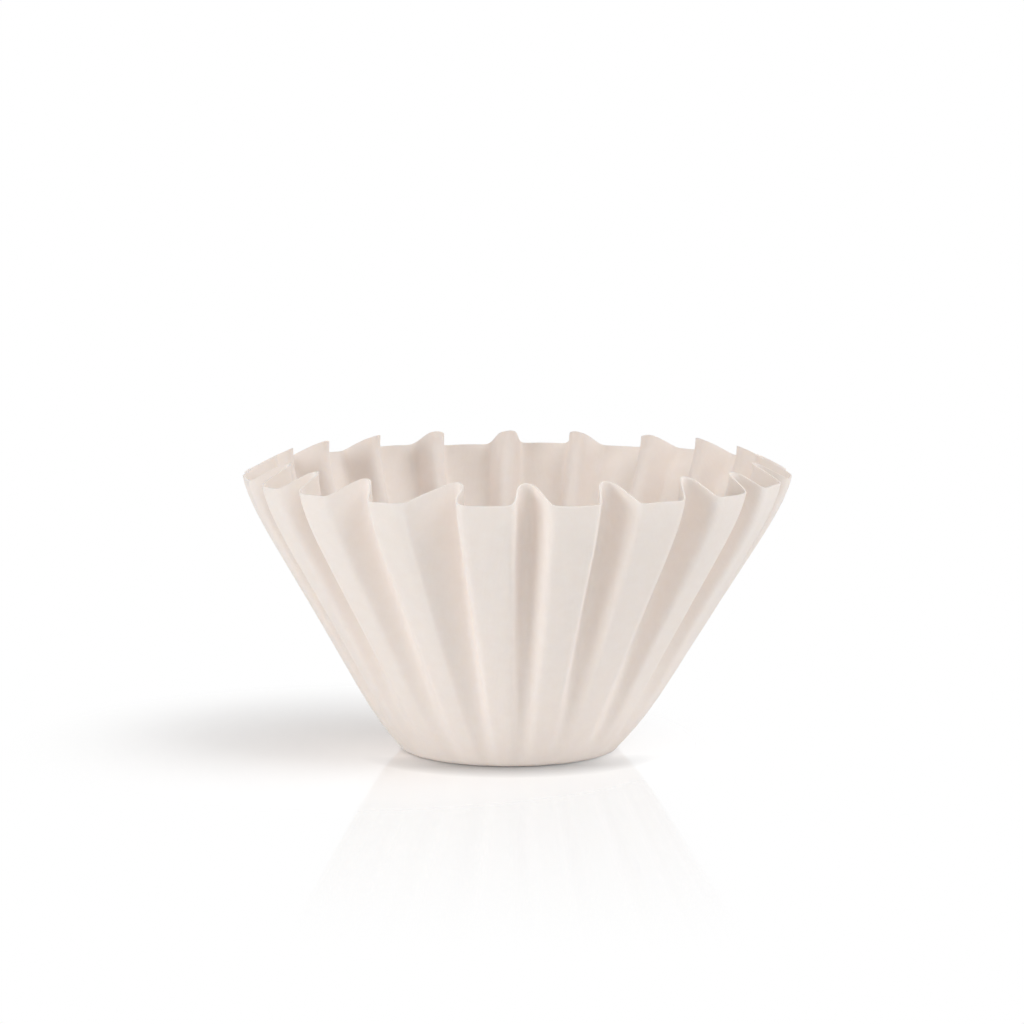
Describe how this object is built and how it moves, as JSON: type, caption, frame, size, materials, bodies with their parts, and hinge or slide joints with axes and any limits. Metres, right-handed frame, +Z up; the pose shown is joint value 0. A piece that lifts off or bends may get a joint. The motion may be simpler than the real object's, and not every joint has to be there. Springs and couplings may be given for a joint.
{
  "type": "paper coffee filter",
  "caption": "Flat-bottomed paper coffee filter: one round sheet pressed into a cup with a fluted, flaring wall and a wavy rim.",
  "frame": {"origin": "middle of the base's underside", "axes": "+Z up through the middle of the open mouth; a valley of the flutes faces -Y"},
  "size_m": [0.0978, 0.0978, 0.0531],
  "materials": {
    "filter_paper": "matte"
  },
  "bodies": {
    "root": {"filter_sheet": "filter_paper"}
  },
  "joints": []
}
